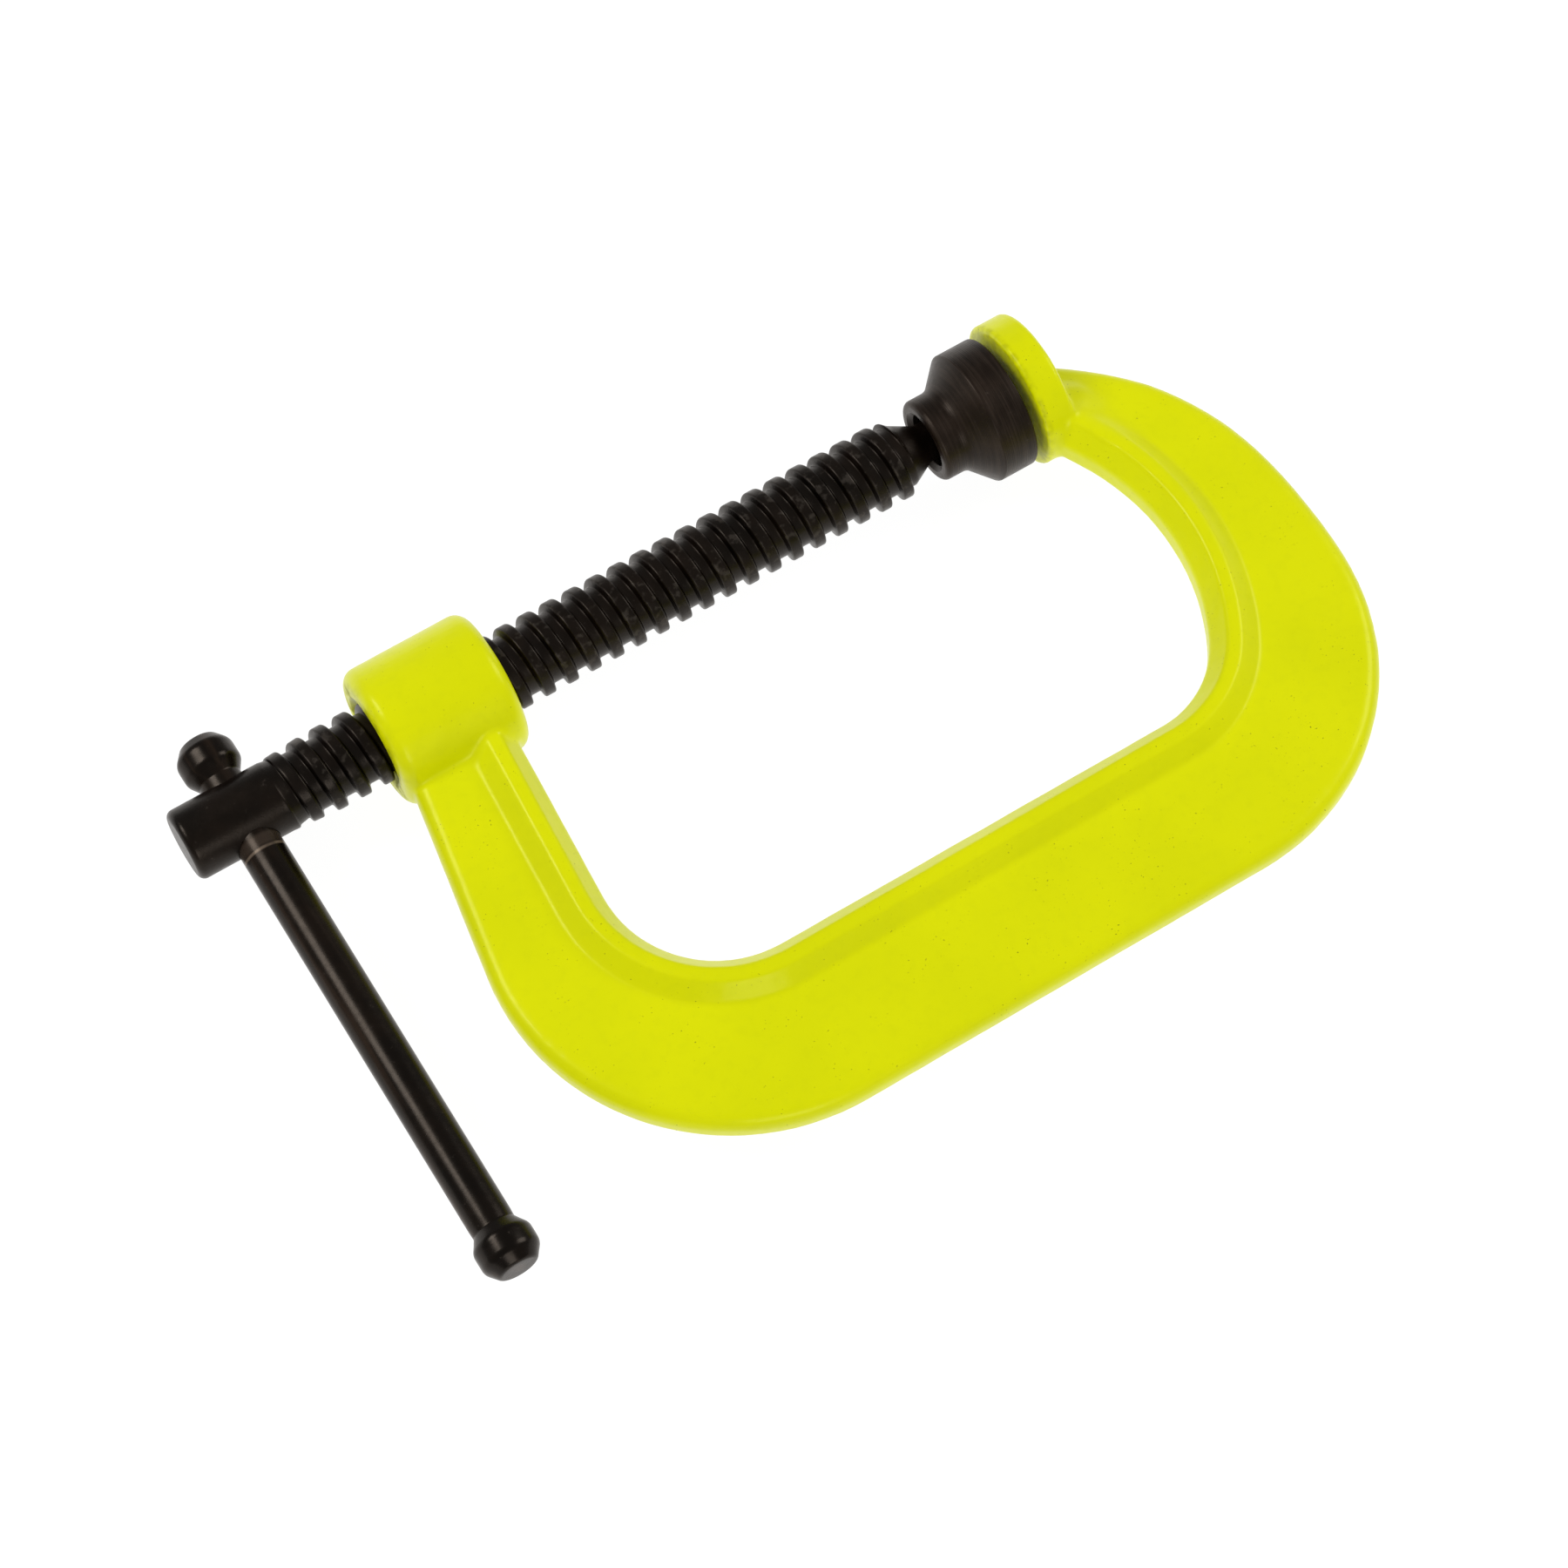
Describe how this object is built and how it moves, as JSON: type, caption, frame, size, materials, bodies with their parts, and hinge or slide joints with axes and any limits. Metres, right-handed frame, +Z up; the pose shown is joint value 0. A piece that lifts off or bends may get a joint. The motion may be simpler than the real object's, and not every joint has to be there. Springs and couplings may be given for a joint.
{
  "type": "c clamp",
  "caption": "Forged C-shaped clamp with a tapped boss, a screw spindle with a sliding T-handle, a swivel pad on a ball and a round anvil.",
  "frame": {"origin": "centre of the anvil's face, on the screw's axis", "axes": "+X along the screw from the handle to the anvil, +Y from the spine to the screw, +Z up through the clamp's thickness as it lies on its side"},
  "size_m": [0.2399, 0.1378, 0.033],
  "materials": {
    "yellow_paint": "gloss yellow-green enamel over a forging",
    "black_oxide_screw": "rolled thread, satin black oxide",
    "black_oxide_pad": "turned, satin black oxide",
    "spring_wire": "bright spring wire",
    "black_oxide_bar": "drawn rod with upset ends, semi-gloss black oxide"
  },
  "bodies": {
    "frame": {"c_frame": "yellow_paint"},
    "ring": {"retaining_ring": "spring_wire"},
    "screw": {"spindle": "black_oxide_screw"},
    "pad": {"swivel_pad": "black_oxide_pad"},
    "handle": {"tommy_bar": "black_oxide_bar"}
  },
  "joints": [
    {"name": "screw_travel", "type": "slide", "parent": "frame", "child": "ring", "axis": [1, 0, 0], "range_m": [-0.1022, 0]},
    {"name": "screw_turn", "type": "hinge", "parent": "ring", "child": "screw", "pos_m": [-0.01305, 0, 0], "axis": [1, 0, 0], "range_deg": [-6689, 0]},
    {"name": "pad_tilt", "type": "hinge", "parent": "ring", "child": "pad", "pos_m": [-0.01305, 0, 0], "axis": [0, 0, 1], "range_deg": [-7, 7]},
    {"name": "handle_slide", "type": "slide", "parent": "screw", "child": "handle", "axis": [0, 1, 0], "range_m": [0, 0.0944]}
  ],
  "couplings": [
    {"joint": "screw_travel", "follows": "screw_turn", "m_per_rad": 0.00087535}
  ]
}
